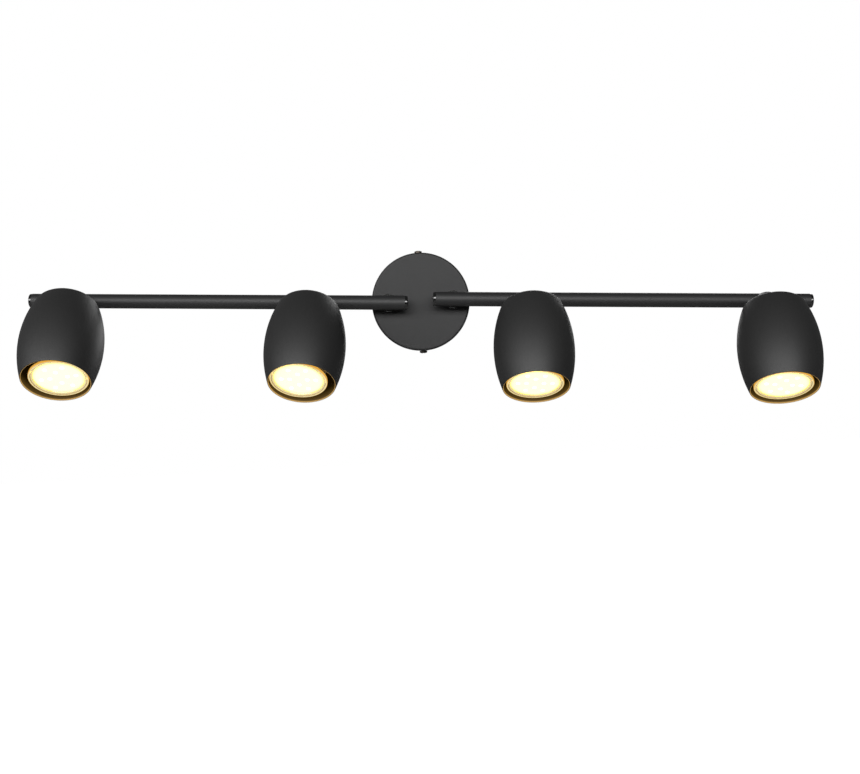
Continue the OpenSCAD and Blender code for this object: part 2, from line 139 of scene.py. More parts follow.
class Socket:
    """A value in a node tree. Python's operators on it add Math nodes."""

    def __init__(self, net, socket):
        self.net = net
        self.socket = socket

    def math(self, operation, *others):
        return self.net.math(operation, self, *others)

    def __add__(self, other):
        return self.net.math("ADD", self, other)

    def __radd__(self, other):
        return self.net.math("ADD", other, self)

    def __sub__(self, other):
        return self.net.math("SUBTRACT", self, other)

    def __rsub__(self, other):
        return self.net.math("SUBTRACT", other, self)

    def __mul__(self, other):
        return self.net.math("MULTIPLY", self, other)

    def __rmul__(self, other):
        return self.net.math("MULTIPLY", other, self)

    def __truediv__(self, other):
        return self.net.math("DIVIDE", self, other)

    def __pow__(self, other):
        return self.net.math("POWER", self, other)

    def __gt__(self, other):
        return self.net.math("GREATER_THAN", self, other)

    def __lt__(self, other):
        return self.net.math("LESS_THAN", self, other)


def pick(sockets, key):
    """A node's socket by its place or by its name, among those in use."""
    if isinstance(key, int):
        return sockets[key]
    return next(s for s in sockets if s.enabled and s.name == key)


class Net:
    """A node tree that is being built."""

    def __init__(self, tree):
        self.tree = tree
        self.tree.nodes.clear()

    def add(self, kind, settings=None, inputs=None, out=0):
        """Adds a node: its settings come first, then the values or links of its sockets."""
        node = self.tree.nodes.new(kind)
        for key, value in (settings or {}).items():
            if key == "stops":
                self.set_stops(node.color_ramp, value)
            else:
                setattr(node, key, value)
        for key, value in (inputs or {}).items():
            self.feed(pick(node.inputs, key), value)
        outputs = [s for s in node.outputs if s.enabled]
        return Socket(self, pick(outputs, out)) if outputs else None

    def feed(self, target, value):
        """Links one value or several into a socket, or sets it."""
        for each in value if isinstance(value, list) else [value]:
            if isinstance(each, Socket):
                self.tree.links.new(each.socket, target)
            else:
                target.default_value = each

    def set_stops(self, ramp, stops):
        """Puts a ramp's stops at their positions, as (position, colour)."""
        while len(ramp.elements) < len(stops):
            ramp.elements.new(1.0)
        for element, (position, colour) in zip(ramp.elements, stops):
            element.position = position
            element.color = colour

    def math(self, operation, *values):
        return self.add("ShaderNodeMath", {"operation": operation}, dict(enumerate(values)))

    def ramp(self, value, low, high):
        """0 where value is at low, 1 where it is at high, with a smooth run between."""
        settings = {"interpolation_type": "SMOOTHSTEP", "clamp": True}
        return self.add(
            "ShaderNodeMapRange", settings, {"Value": value, "From Min": low, "From Max": high}
        )

    def blend(self, factor, first, second):
        """A colour from first to second."""
        settings = {"data_type": "RGBA", "clamp_factor": True}
        return self.add("ShaderNodeMix", settings, {"Factor": factor, "A": first, "B": second})

    def noise(self, where, size, detail=2.0, distortion=0.0):
        """Soft noise, with grains of about that size."""
        inputs = {"Vector": where, "Scale": 1 / size, "Detail": detail, "Distortion": distortion}
        return self.add("ShaderNodeTexNoise", None, inputs)


# ---- Materials ----


def rgb(colour):
    """A colour with its alpha of 1."""
    return (*colour[:3], 1.0)


class Finish(Net):
    """A material under construction, round one Principled shader."""

    def __init__(self, name):
        self.material = bpy.data.materials.new(name)
        self.material.use_nodes = True
        super().__init__(self.material.node_tree)
        self.shader = self.tree.nodes.new("ShaderNodeBsdfPrincipled")
        output = self.tree.nodes.new("ShaderNodeOutputMaterial")
        self.tree.links.new(self.shader.outputs["BSDF"], output.inputs["Surface"])

    def position(self):
        """Where a point is on the object, at rest."""
        return self.add("ShaderNodeTexCoord", None, None, "Object")

    def place(self):
        """Where a point is on its own piece, from the attribute that each built piece holds."""
        settings = {"attribute_type": "GEOMETRY", "attribute_name": "place"}
        return self.add("ShaderNodeAttribute", settings, None, "Vector")

    def parts(self, vector):
        """A vector's distance from the Z axis, and its height."""
        x = self.add("ShaderNodeSeparateXYZ", None, {0: vector}, "X")
        y = self.add("ShaderNodeSeparateXYZ", None, {0: vector}, "Y")
        z = self.add("ShaderNodeSeparateXYZ", None, {0: vector}, "Z")
        return (x * x + y * y).math("SQRT"), z

    def set(self, **values):
        """Sets or links the shader's sockets, as base_color=..., roughness=..."""
        for key, value in values.items():
            label = key.replace("_", " ").title().replace("Ior", "IOR")
            self.feed(self.shader.inputs[label], value)
        return self

    def bump(self, height, depth, strength=1.0):
        """Raises the surface by up to depth where height is 1."""
        inputs = {"Height": height, "Distance": depth, "Strength": strength}
        self.feed(self.shader.inputs["Normal"], self.add("ShaderNodeBump", None, inputs))
        return self


def powder_coat(name, colour, grain, roughness, sheen=0.4):
    """Matt powder coat: fine grains that stand up and catch light, on softly uneven colour."""
    finish = Finish(name)
    where = finish.position()
    grains = finish.noise(where, grain, detail=3)
    ripple = finish.noise(where, grain * 5, detail=1)
    patches = finish.noise(where, 30 * MM, detail=2)
    dust = finish.ramp(finish.noise(where, grain * 0.8, detail=1), 0.62, 0.75)
    dark = rgb([part * 0.86 for part in colour])
    light = rgb([part * 1.2 for part in colour])
    base = finish.blend(patches * 0.6 + grains * 0.4, dark, light)
    base = finish.blend(dust * 0.25, base, rgb([part * 2.2 for part in colour]))
    finish.set(
        base_color=base,
        roughness=roughness - 0.06 + grains * 0.12,
        specular_ior_level=sheen,
    )
    finish.bump(grains * 0.75 + ripple * 0.25, 0.08 * MM, 1.0)
    return finish.material


def shade_lining(name, settings, mouth):
    """Coat inside a shade: smoother, with the lamp's gold light on it painted as emission, growing towards the
    mouth and brightest at its edge.
    """
    finish = Finish(name)
    grains = finish.noise(finish.position(), 0.5 * MM, detail=2)
    _, height = finish.parts(finish.place())
    # Painted lamp light: emission on the lining that rises from the glow depth to the mouth, standing in for the
    # light the lamp throws on the inside.
    deep = finish.ramp(height, -settings.glow_depth, -mouth) ** 1.5
    # Painted highlight: a brighter band of emission along the edge of the mouth, for the lamp's light on the lip.
    edge = finish.ramp(height, -mouth + settings.glow_edge, -mouth)
    dark = [part * 0.5 for part in settings.lining_color]
    glow = finish.blend(deep, (0.006, 0.003, 0, 1), rgb(settings.glow_color))
    glow = finish.blend(edge, glow, rgb(settings.painted_lip_glow))
    finish.set(
        base_color=finish.blend(grains, rgb(dark), rgb(settings.lining_color)),
        roughness=0.4 + grains * 0.15,
        emission_color=glow,
        emission_strength=1.0,
    )
    finish.bump(grains, 0.02 * MM, 0.5)
    return finish.material


def bare_metal(name, colour, roughness, streaks=0.25, grain=0.6 * MM):
    """Plated or raw metal with a drawn grain and small stains."""
    finish = Finish(name)
    where = finish.position()
    grains = finish.noise(where, grain, detail=4)
    stains = finish.noise(where, 7 * MM, detail=3, distortion=0.6)
    dull = rgb([part * 0.72 for part in colour])
    finish.set(
        base_color=finish.blend(stains * 0.7 + grains * 0.3, rgb(colour), dull),
        metallic=1.0,
        roughness=roughness + stains * streaks * 0.5 + grains * streaks * 0.3,
    )
    finish.bump(grains, 0.015 * MM, 0.5)
    return finish.material


def gloss_plastic(name, colour, roughness, coat=0.0):
    """Moulded plastic with a faint flow pattern and a slightly uneven gloss."""
    finish = Finish(name)
    where = finish.position()
    flow = finish.noise(where, 4 * MM, detail=2, distortion=1.2)
    pores = finish.noise(where, 0.25 * MM, detail=1)
    pale = rgb([part * 0.88 for part in colour])
    finish.set(
        base_color=finish.blend(flow, rgb(colour), pale),
        roughness=roughness + pores * 0.08 + flow * 0.05,
        coat_weight=coat,
        coat_roughness=0.06,
    )
    finish.bump(pores * 0.4 + flow * 0.6, 0.02 * MM, 0.35)
    return finish.material


def glazed_ceramic(name, colour):
    """Steatite with a thin glaze and small dark specks."""
    finish = Finish(name)
    where = finish.position()
    cloud = finish.noise(where, 6 * MM, detail=3)
    specks = finish.ramp(finish.noise(where, 0.5 * MM, detail=1), 0.7, 0.78)
    base = finish.blend(cloud, rgb(colour), rgb([part * 0.9 for part in colour]))
    finish.set(
        base_color=finish.blend(specks * 0.5, base, (0.35, 0.3, 0.24, 1)),
        roughness=0.3 + cloud * 0.15,
        coat_weight=0.3,
        coat_roughness=0.15,
    )
    finish.bump(cloud, 0.05 * MM, 0.4)
    return finish.material


def lamp_glow(name, colour, strength, edge_colour, edge_at, width):
    """Lit surface that turns to its edge colour towards the rim of the lamp's face."""
    finish = Finish(name)
    radius, _ = finish.parts(finish.place())
    cells = finish.noise(finish.place(), 3.2 * MM, detail=1)
    rim = finish.ramp(radius + (cells - 0.5) * 1.5 * MM, edge_at - width, edge_at)
    finish.set(
        base_color=finish.blend(cells, (0.20, 0.20, 0.17, 1), (0.26, 0.25, 0.2, 1)),
        roughness=0.35 + cells * 0.1,
        emission_color=finish.blend(rim, rgb(colour), rgb(edge_colour)),
        emission_strength=strength,
    )
    return finish.material


# ---- Shapes ----


def run_tree(tree, base, values):
    """The plain mesh that a Geometry Nodes tree makes from a base mesh and its named inputs."""
    carrier = bpy.data.objects.new(tree.name, base)
    bpy.context.scene.collection.objects.link(carrier)
    modifier = carrier.modifiers.new(tree.name, "NODES")
    modifier.node_group = tree
    sockets = {s.name: s.identifier for s in tree.interface.items_tree if s.in_out == "INPUT"}
    for name, value in values.items():
        modifier[sockets[name]] = value
    graph = bpy.context.evaluated_depsgraph_get()
    made = bpy.data.meshes.new_from_object(
        carrier.evaluated_get(graph), preserve_all_data_layers=True, depsgraph=graph
    )
    carrier.modifiers.remove(modifier)
    bpy.data.objects.remove(carrier)
    return made


def geometry_tree(name, inputs):
    """A new Geometry Nodes tree with named inputs, given as (name, kind, default)."""
    tree = bpy.data.node_groups.new(name, "GeometryNodeTree")
    tree.interface.new_socket("Geometry", in_out="OUTPUT", socket_type="NodeSocketGeometry")
    tree.interface.new_socket("Geometry", in_out="INPUT", socket_type="NodeSocketGeometry")
    for label, kind, default in inputs:
        socket = tree.interface.new_socket(
            label, in_out="INPUT", socket_type=f"NodeSocket{kind}"
        )
        if default is not None:
            socket.default_value = default
    net = Net(tree)
    entry = tree.nodes.new("NodeGroupInput")
    return net, {s.name: Socket(net, s) for s in entry.outputs if s.name}


def end_tree(net, geometry, material):
    """Stores each point's place on its piece, and ends the tree with plain geometry."""
    place = net.add("GeometryNodeInputPosition")
    geometry = net.add(
        "GeometryNodeStoreNamedAttribute",
        {"data_type": "FLOAT_VECTOR", "domain": "POINT"},
        {"Geometry": geometry, "Name": "place", "Value": place},
    )
    geometry = net.add("GeometryNodeRealizeInstances", None, {0: geometry})
    geometry = net.add(
        "GeometryNodeSetMaterial", None, {"Geometry": geometry, "Material": material}
    )
    net.add("NodeGroupOutput", None, {0: geometry})
    return net.tree


def turned_tree():
    """Turns an outline of radius and depth about the Z axis, with its corners rounded."""
    net, given = geometry_tree(
        "Turned Part", [("Segments", "Int", 96), ("Material", "Material", None)]
    )
    hub = 1 * MM
    corner = net.add(
        "GeometryNodeInputNamedAttribute", {"data_type": "FLOAT"}, {"Name": "corner"}
    )
    outline = net.add("GeometryNodeMeshToCurve", None, {"Mesh": given["Geometry"]})
    outline = net.add(
        "GeometryNodeFilletCurve",
        {"mode": "POLY"},
        {"Curve": outline, "Count": 5, "Radius": corner, "Limit Radius": True},
    )
    outline = net.add(
        "GeometryNodeTransform", None, {"Geometry": outline, "Translation": (-hub, 0, 0)}
    )
    circle = net.add(
        "GeometryNodeCurvePrimitiveCircle", None, {"Resolution": given["Segments"], "Radius": hub}
    )
    solid = net.add("GeometryNodeCurveToMesh", None, {"Curve": circle, "Profile Curve": outline})
    solid = net.add(
        "GeometryNodeMergeByDistance", None, {"Geometry": solid, "Distance": 0.001 * MM}
    )
    return end_tree(net, solid, given["Material"])


def ring_tree():
    """Repeats a shape in a ring about the Z axis."""
    net, given = geometry_tree(
        "Ring Of Copies",
        [("Count", "Int", 6), ("Radius", "Float", 15 * MM), ("Material", "Material", None)],
    )
    circle = net.add(
        "GeometryNodeCurvePrimitiveCircle",
        None,
        {"Resolution": given["Count"], "Radius": given["Radius"]},
    )
    points = net.add("GeometryNodeCurveToPoints", {"mode": "EVALUATED"}, {"Curve": circle})
    place = net.add("GeometryNodeInputPosition")
    turn = net.add("FunctionNodeAlignRotationToVector", {"axis": "X"}, {"Vector": place})
    copies = net.add(
        "GeometryNodeInstanceOnPoints",
        None,
        {"Points": points, "Instance": given["Geometry"], "Rotation": turn},
    )
    whole = net.add("GeometryNodeRealizeInstances", None, {0: copies})
    return end_tree(net, whole, given["Material"])


def row_tree():
    """Repeats a shape in a row up the Z axis."""
    net, given = geometry_tree(
        "Row Of Copies",
        [("Count", "Int", 10), ("Pitch", "Float", 1 * MM), ("Material", "Material", None)],
    )
    step = net.add("ShaderNodeCombineXYZ", None, {"Z": given["Pitch"]})
    line = net.add("GeometryNodeMeshLine", None, {"Count": given["Count"], "Offset": step})
    copies = net.add(
        "GeometryNodeInstanceOnPoints", None, {"Points": line, "Instance": given["Geometry"]}
    )
    whole = net.add("GeometryNodeRealizeInstances", None, {0: copies})
    return end_tree(net, whole, given["Material"])


def wire_tree():
    """Sweeps a round wire along a route, with its bends rounded."""
    net, given = geometry_tree(
        "Wire",
        [
            ("Diameter", "Float", 1.6 * MM),
            ("Bend", "Float", 4 * MM),
            ("Material", "Material", None),
        ],
    )
    route = net.add("GeometryNodeMeshToCurve", None, {"Mesh": given["Geometry"]})
    route = net.add(
        "GeometryNodeFilletCurve",
        {"mode": "POLY"},
        {"Curve": route, "Count": 10, "Radius": given["Bend"], "Limit Radius": True},
    )
    profile = net.add(
        "GeometryNodeCurvePrimitiveCircle",
        None,
        {"Resolution": 16, "Radius": given["Diameter"] * 0.5},
    )
    around = net.add("GeometryNodeSplineParameter", None, None, "Factor")
    profile = net.add(
        "GeometryNodeStoreNamedAttribute",
        {"data_type": "FLOAT", "domain": "POINT"},
        {"Geometry": profile, "Name": "around", "Value": around},
    )
    wire = net.add(
        "GeometryNodeCurveToMesh",
        None,
        {"Curve": route, "Profile Curve": profile, "Fill Caps": True},
    )
    return end_tree(net, wire, given["Material"])


def outline_mesh(outline, closed):
    """Edges along an outline of (radius, depth, corner radius)."""
    base = bpy.data.meshes.new("outline")
    last = len(outline) - 1
    edges = [(i, i + 1) for i in range(last)]
    if closed:
        edges.append((last, 0))
    base.from_pydata([(radius, depth, 0) for radius, depth, _ in outline], edges, [])
    corner = base.attributes.new("corner", "FLOAT", "POINT")
    corner.data.foreach_set("value", [rounding for _, _, rounding in outline])
    return base


def face_outwards(mesh):
    """Turns a closed mesh's faces outwards."""
    shell = bmesh.new()
    shell.from_mesh(mesh)
    if shell.calc_volume(signed=True) < 0:
        bmesh.ops.reverse_faces(shell, faces=shell.faces)
    shell.to_mesh(mesh)
    shell.free()
    return mesh


def turned(outline, material, segments=96, closed=False):
    """A lathe-turned mesh from its outline."""
    values = {"Segments": segments, "Material": material}
    mesh = run_tree(bpy.data.node_groups["Turned Part"], outline_mesh(outline, closed), values)
    return face_outwards(mesh)


def arc(centre, radius, start, end, steps):
    """Points along an arc, as (radius, depth, no rounding); angles in degrees, 90 is upwards."""
    x, depth = centre
    turns = [math.radians(start + (end - start) * i / steps) for i in range(steps + 1)]
    return [(x + radius * math.cos(t), depth - radius * math.sin(t), 0.0) for t in turns]


def joined(meshes):
    """One mesh out of several."""
    shell = bmesh.new()
    materials = []
    for mesh in meshes:
        start = len(shell.faces)
        shell.from_mesh(mesh)
        shell.faces.ensure_lookup_table()
        for face in shell.faces[start:]:
            material = mesh.materials[face.material_index]
            if material not in materials:
                materials.append(material)
            face.material_index = materials.index(material)
    whole = bpy.data.meshes.new("joined")
    shell.to_mesh(whole)
    shell.free()
    for material in materials:
        whole.materials.append(material)
    return whole


def settle(name, mesh, place, body, slot, stands_for=(), sharp=35):
    """Moves a finished mesh to its place, as a piece that rides on a body."""
    mesh.name = name
    mesh.transform(place)
    mesh.shade_smooth()
    mesh.set_sharp_from_angle(angle=math.radians(sharp))
    piece = bpy.data.objects.new(name, mesh)
    bpy.context.scene.collection.objects.link(piece)
    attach(piece, body)
    if stands_for:
        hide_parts(*stands_for)
    return piece


def body_of(node):
    """The body that a CAD node belongs to."""
    bodies = frame["record"]["behaviour"]["bodies"]
    return next(body for body, nodes in bodies.items() if node in nodes)


def slot_of(node):
    """The material slot of a CAD node."""
    parts = frame["record"]["subparts"]
    return next(part["material_slot"] for part in parts if part["node"] == node)


def eased(node, material, width):
    """Stands for a CAD node with the same shape, its sharp edges broken by a small bevel."""
    shape = bmesh.new()
    shape.from_mesh(frame["nodes"][node].data)
    bmesh.ops.remove_doubles(shape, verts=shape.verts, dist=0.002 * MM)
    bmesh.ops.dissolve_limit(
        shape, angle_limit=math.radians(0.5), verts=shape.verts, edges=shape.edges
    )
    mesh = bpy.data.meshes.new(f"{node}_eased")
    shape.to_mesh(mesh)
    shape.free()
    mesh.materials.append(material)
    carrier = bpy.data.objects.new("carrier", mesh)
    bpy.context.scene.collection.objects.link(carrier)
    bevel = carrier.modifiers.new("edges", "BEVEL")
    bevel.width = width
    bevel.segments = 2
    bevel.limit_method = "ANGLE"
    bevel.angle_limit = math.radians(50)
    graph = bpy.context.evaluated_depsgraph_get()
    made = bpy.data.meshes.new_from_object(carrier.evaluated_get(graph), depsgraph=graph)
    bpy.data.objects.remove(carrier)
    return settle(f"{node}_eased", made, Matrix(), body_of(node), slot_of(node), [node], 40)


def coat(nodes, material):
    """Gives CAD nodes a material."""
    for node in nodes:
        slots = frame["nodes"][node].data.materials
        slots.clear()
        slots.append(material)


# ---- Sizes and colours that a user would change ----


def length_setting(name, description, default, **limits):
    """A length that the user may set."""
    return FloatProperty(
        name=name, description=description, default=default, unit="LENGTH", **limits
    )


def colour_setting(name, description, default):
    """A colour that the user may set."""
    return FloatVectorProperty(
        name=name, description=description, default=default, subtype="COLOR", size=3, min=0, max=1
    )


class CoatSettings(bpy.types.PropertyGroup):
    canopy_color: colour_setting(
        "Canopy", "Colour of the canopy's powder coat", (0.0115, 0.0115, 0.0118)
    )
    arm_color: colour_setting("Arms", "Colour of the arms' powder coat", (0.011, 0.011, 0.0113))
    shade_color: colour_setting(
        "Shades", "Colour of the shades' powder coat", (0.011, 0.011, 0.0110)
    )
    grain: length_setting(
        "Grain", "Size of the powder coat's grains", 0.8 * MM, min=0.1 * MM, max=2 * MM
    )
    roughness: FloatProperty(
        name="Roughness", description="How matt the powder coat is", min=0.2, max=1.0, default=0.54
    )
    canopy_sheen: FloatProperty(
        name="Canopy sheen", description="Strength of the canopy's highlights",
        min=0.0, max=1.0, default=0.31,
    )


class FittingSettings(bpy.types.PropertyGroup):
    thread_pitch: length_setting(
        "Thread pitch", "Distance between two turns of a stem's thread", 1 * MM, min=0.5 * MM
    )
    thread_depth: length_setting("Thread depth", "Depth of a stem's thread", 0.5 * MM)
    plug_length: length_setting(
        "Plug length", "How far an end plug stands out of its tube", 3.2 * MM
    )
    plug_crown: length_setting("Plug crown", "Height of the shallow dome on an end plug", 0.9 * MM)
    plug_inset: length_setting(
        "Plug inset", "How far an end plug's face stays inside its CAD one", 0.06 * MM
    )
    plug_round: length_setting("Plug rounding", "Rounding of the edge of an end plug", 0.5 * MM)
    stem_bore: length_setting("Stem bore", "Diameter of the hole through a stem", 7 * MM)


class WiringSettings(bpy.types.PropertyGroup):
    diameter: length_setting("Lead", "Diameter of a lead", 1.6 * MM)
    bend: length_setting("Bend", "Radius that a lead bends to", 4 * MM)
    first_level: length_setting("First lead", "Distance of the first lead from the wall", 6 * MM)
    level_step: length_setting(
        "Next lead", "Distance from one lead to the next, away from the wall", 2.2 * MM
    )
    pole_pitch: length_setting("Poles", "Distance between the poles of the terminal block", 7 * MM)
    clamp_depth: length_setting("Clamps", "Distance of the terminals from the wall", 7.5 * MM)


class ShadeSettings(bpy.types.PropertyGroup):
    belly_depth: length_setting(
        "Belly depth", "From the top of a shade down to its widest place", 46 * MM
    )
    side_radius: length_setting(
        "Side radius", "Radius of the curve that a shade's side follows", 118 * MM
    )
    edge_radius: length_setting("Edge radius", "Radius of a shade's rounded top edge", 6 * MM)
    wall: length_setting("Wall", "Sheet thickness of a shade", 1 * MM)
    hole: length_setting("Hole", "Diameter of the hole in a shade's top", 8.2 * MM)
    lip: length_setting("Lip", "Rounding of the edge of a shade's mouth", 0.4 * MM)
    lining_color: colour_setting(
        "Lining", "Colour of the coat inside a shade", (0.02, 0.016, 0.012)
    )
    # Painted lamp light: the glow and lip glow below are emission colours on the lining, not light from a lamp in
    # the scene.
    glow_color: colour_setting(
        "Glow", "Warm light that the lamp leaves on the lining at the mouth", (0.075, 0.042, 0.007)
    )
    glow_depth: length_setting(
        "Glow starts", "Depth in a shade at which that light starts", 66 * MM
    )
    painted_lip_glow: colour_setting(
        "Edge glow", "Light of the lamp on the edge of the mouth", (0.50, 0.30, 0.085)
    )
    glow_edge: length_setting(
        "Edge glow width", "How far that light reaches in from the edge", 2.2 * MM
    )


class LampSettings(bpy.types.PropertyGroup):
    face_diameter: length_setting("Face", "Diameter of the lit face", 42 * MM)
    face_recess: length_setting(
        "Face recess", "How far the lit face lies behind the rim", 1.2 * MM
    )
    glow_color: colour_setting("Light", "Colour of the lit face", (1.0, 0.55, 0.072))
    spot_color: colour_setting(
        "Spots", "Colour of the light sources behind the face", (1.0, 0.75, 0.16)
    )
    strength: FloatProperty(
        name="Strength", description="Brightness of the lit face", min=0, default=10.0
    )
    ribs: IntProperty(name="Ribs", description="Cooling ribs round the lamp's body", default=24)
    inner_spots: IntProperty(
        name="Inner spots", description="Light sources near the middle", default=4
    )
    inner_radius: length_setting(
        "Inner ring", "Radius of the inner ring of light sources", 7.6 * MM
    )
    outer_spots: IntProperty(
        name="Outer spots", description="Light sources near the edge", default=6
    )
    outer_radius: length_setting(
        "Outer ring", "Radius of the outer ring of light sources", 14.9 * MM
    )
    spot_diameter: length_setting("Spot", "Diameter of one light source", 3.4 * MM)


class StageSettings(bpy.types.PropertyGroup):
    camera_place: FloatVectorProperty(
        name="Camera", description="Where the camera stands",
        subtype="TRANSLATION", unit="LENGTH", size=3,
        default=(10.24 * MM, -984.06 * MM, -47.88 * MM),
    )
    camera_roll: FloatProperty(
        name="Roll", description="Turn of the camera about its line of sight",
        subtype="ANGLE", default=math.radians(3.11),
    )
    camera_yaw: FloatProperty(
        name="Yaw", description="Turn of the camera to the left",
        subtype="ANGLE", default=math.radians(0.24),
    )
    camera_pitch: FloatProperty(
        name="Pitch", description="How far the camera looks up",
        subtype="ANGLE", default=math.radians(-2.01),
    )
    lens: FloatProperty(
        name="Lens", description="Focal length for a 36 mm wide sensor, in millimetres",
        default=42.29,
    )
    floor_drop: length_setting("Floor", "How far the floor lies under the object", 0.7)
    key_power: FloatProperty(
        name="Key light", description="Power of the long softbox in front, in watts", default=60.0
    )
    fill_power: FloatProperty(
        name="Fill light", description="Power of the softbox on the left, in watts", default=7.0
    )
    back_power: FloatProperty(
        name="Back light", description="Power of the softbox behind, in watts", default=10.0
    )


# ---- Pieces ----


class SPOTBAR_OT_coats(bpy.types.Operator):
    """Coats the canopy, the arms and their joints"""

    bl_idname = "spotbar.coats"
    bl_label = "Canopy and arm coats"

    def execute(self, context):
        settings = context.scene.spotbar_coats
        canopy = powder_coat(
            "canopy_coat", settings.canopy_color, settings.grain, settings.roughness,
            settings.canopy_sheen,
        )
        arms = powder_coat("arm_coat", settings.arm_color, settings.grain, settings.roughness)
        coat(["canopy"], canopy)
        for side in SIDES:
            coat([f"{side}_tube", f"{side}_head_bosses"], arms)
        for head in HEADS:
            eased(f"swivel_base_{head}", arms, 0.35 * MM)
            eased(f"knuckle_{head}", arms, 0.35 * MM)
        return {"FINISHED"}


class SPOTBAR_OT_fittings(bpy.types.Operator):
    """Finishes the bracket, plugs, bushes, nuts, screws and lampholders"""

    bl_idname = "spotbar.fittings"
    bl_label = "Fittings"

    def execute(self, context):
        settings = context.scene.spotbar_fittings
        zinc = bare_metal("zinc_plate", (0.62, 0.61, 0.57), 0.3)
        black = bare_metal("black_zinc", (0.07, 0.06, 0.05), 0.25)
        brass = bare_metal("brass", (0.80, 0.58, 0.25), 0.25)
        plug = gloss_plastic("plug_gloss", (0.004, 0.004, 0.004), 0.1, coat=0.5)
        nylon = gloss_plastic("nylon_white", (0.78, 0.75, 0.66), 0.4)
        block = gloss_plastic("block_white", (0.80, 0.79, 0.74), 0.35)
        sheath = gloss_plastic("sheath_grey", (0.30, 0.30, 0.31), 0.45)
        ceramic = glazed_ceramic("holder_ceramic", (0.85, 0.82, 0.75))
        coat(["swivel_bushes"], nylon)
        coat(["terminal_screws"], brass)
        eased("mounting_bracket", zinc, 0.25 * MM)
        eased("terminal_block", block, 0.4 * MM)
        eased("side_screws", black, 0.12 * MM)
        for side in SIDES:
            coat([f"{side}_stem_collar"], plug)
            coat([f"{side}_arm_cable"], sheath)
            self.plugs(side, settings, plug)
            eased(f"{side}_stem_nut", zinc, 0.3 * MM)
            self.stem(side, settings, zinc)
        for head in HEADS:
            coat([f"head_lead_{head}"], sheath)
            coat([f"swivel_nut_{head}"], zinc)
            eased(f"hinge_screw_{head}", black, 0.15 * MM)
            eased(f"lampholder_{head}", ceramic, 0.4 * MM)
        return {"FINISHED"}

    def plugs(self, side, settings, material):
        """Caps in both ends of a tube, each straight at its rim with a shallow dome on its face."""
        node = f"{side}_end_plugs"
        points = points_of(node)
        middle = sum(point.x for point in points) / len(points)
        ends = [[p for p in points if p.x < middle], [p for p in points if p.x > middle]]
        centres = [sum(end, Vector()) / len(end) for end in ends]
        run = (centres[1] - centres[0]).normalized()
        caps = []
        for end, centre, out in zip(ends, centres, (-run, run)):
            place = place_of(centre, (0, 1, 0), -out)
            near = [place.inverted() @ point for point in end]
            off = [(min(p[i] for p in near) + max(p[i] for p in near)) / 2 for i in (0, 1)]
            place = place @ Matrix.Translation((*off, 0))
            near = [place.inverted() @ point for point in end]
            foot = -max(point.z for point in near)
            face = -min(point.z for point in near) - settings.plug_inset
            rim = max(point.xy.length for point in near)
            spigot = max(p.xy.length for p in near if p.z > -foot - 0.1 * MM)
            seat = face - settings.plug_length
            crown = [
                (rim * part, face - settings.plug_crown * part**2, 0)
                for part in (0.8, 0.6, 0.4, 0.2, 0)
            ]
            cap = turned([
                (0, foot, 0), (spigot, foot, 0.3 * MM), (spigot, seat, 0), (rim, seat, 0.1 * MM),
                (rim, face - settings.plug_crown, settings.plug_round), *crown,
            ], material, 64)
            cap.transform(place)
            caps.append(cap)
        settle(f"{side}_end_caps", joined(caps), Matrix(), f"{side}_arm", slot_of(node), [node])

    def stem(self, side, settings, material):
        """Hollow stem of an arm with its thread, in place of the plain CAD one."""
        node = f"{side}_stem"
        pivot = Vector(joint(f"{side}_arm_swivel")["pos_m"])
        place = place_of(pivot, (1, 0, 0), (0, -1, 0))
        low, high, radius = reach_in(node, place)
        depth = settings.thread_depth
        pitch = settings.thread_pitch
        bore = settings.stem_bore / 2
        core = radius - depth
        sleeve = [
            (bore, -low, 0), (core, -low, 0.3 * MM), (core, -high, 0.3 * MM), (bore, -high, 0),
        ]
        foot = core - 0.1 * MM
        ridge = [(foot, -pitch / 2, 0), (radius, 0, 0.05 * MM), (foot, pitch / 2, 0)]
        count = int((high - low) / pitch) - 2
        values = {"Count": count, "Pitch": pitch, "Material": material}
        thread = run_tree(
            bpy.data.node_groups["Row Of Copies"], turned(ridge, material, 48, closed=True), values
        )
        thread.transform(Matrix.Translation((0, 0, low + 1.5 * pitch)))
        whole = joined([turned(sleeve, material, 64, closed=True), thread])
        settle(f"{side}_stem_threaded", whole, place, f"{side}_arm", slot_of(node), [node])


